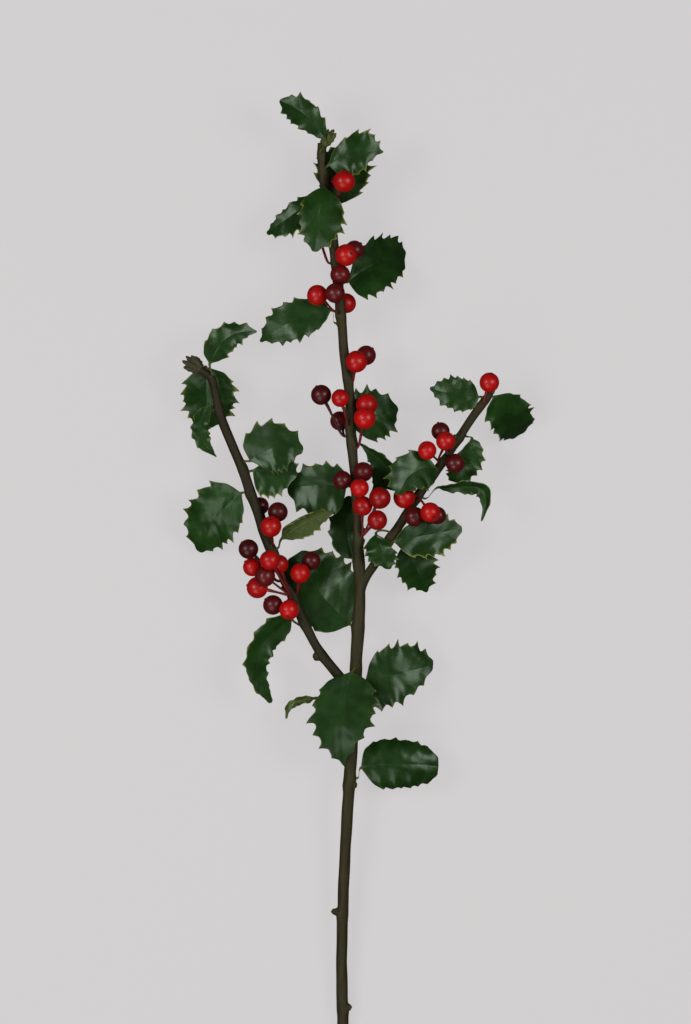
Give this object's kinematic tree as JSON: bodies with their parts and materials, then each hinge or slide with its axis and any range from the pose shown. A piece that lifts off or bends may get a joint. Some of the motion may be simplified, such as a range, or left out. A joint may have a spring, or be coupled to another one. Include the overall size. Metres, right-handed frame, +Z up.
{
  "type": "holly sprig",
  "caption": "Cut holly sprig lying down: woody main stem with side branches, spiny-edged glossy leaves and small bunches of bright and dark round berries.",
  "frame": {"origin": "on the surface the sprig lies on, under the middle of its bounding box", "axes": "+Y along the main stem from the cut end to the top leaves, +Z up away from the surface, +X to the right when it is seen from above with the top leaves up; the upper faces of most leaves look along +Z"},
  "size_m": [0.177, 0.5026, 0.0448],
  "materials": {
    "stem": "satin, olive brown bark",
    "leaf": "glossy, dark green, waxy upper face",
    "berry_red": "glossy, bright red skin",
    "berry_dark": "glossy, dark burgundy skin"
  },
  "bodies": {
    "root": {"stem": "stem", "leaf_top_left": "leaf", "leaf_top_right": "leaf", "leaf_top_back": "leaf", "leaf_top_hanging": "leaf", "leaf_top_side": "leaf", "leaf_upper_right": "leaf", "leaf_upper_left": "leaf", "leaf_mid_back": "leaf", "leaf_mid_curled": "leaf", "leaf_crown_left": "leaf", "leaf_crown_back": "leaf", "leaf_fork_left": "leaf", "leaf_low_front": "leaf", "leaf_low_right": "leaf", "leaf_lowest": "leaf", "leaf_small_curled": "leaf", "leaf_left_crown": "leaf", "leaf_left_back": "leaf", "leaf_left_hanging": "leaf", "leaf_inner_upper": "leaf", "leaf_inner_lower": "leaf", "leaf_left_outer": "leaf", "leaf_left_twisted": "leaf", "leaf_left_low": "leaf", "leaf_tip_left": "leaf", "leaf_tip_right": "leaf", "leaf_right_outer": "leaf", "leaf_right_curled": "leaf", "leaf_right_inner": "leaf", "leaf_fork_front": "leaf", "leaf_fork_side": "leaf", "leaf_fork_back": "leaf", "berries_top_red": "berry_red", "berries_top_dark": "berry_dark", "berries_upper_red": "berry_red", "berries_upper_dark": "berry_dark", "berries_under_red": "berry_red", "berries_fork_red": "berry_red", "berries_fork_dark": "berry_dark", "berries_mid_dark": "berry_dark", "berries_mid_red": "berry_red", "berries_waist_dark": "berry_dark", "berries_waist_red_left": "berry_red", "berries_waist_red_right": "berry_red", "berries_crown_dark": "berry_dark", "berries_crown_red": "berry_red", "berries_right_low_red": "berry_red", "berries_right_low_dark": "berry_dark", "berries_right_mid_red": "berry_red", "berries_right_mid_dark": "berry_dark", "berries_tip_red": "berry_red", "berries_left_dark": "berry_dark", "berries_left_red": "berry_red", "berries_branch_dark": "berry_dark", "berries_branch_red": "berry_red", "berries_low_red": "berry_red", "berries_low_dark": "berry_dark", "berries_foot_dark": "berry_dark"}
  },
  "joints": []
}
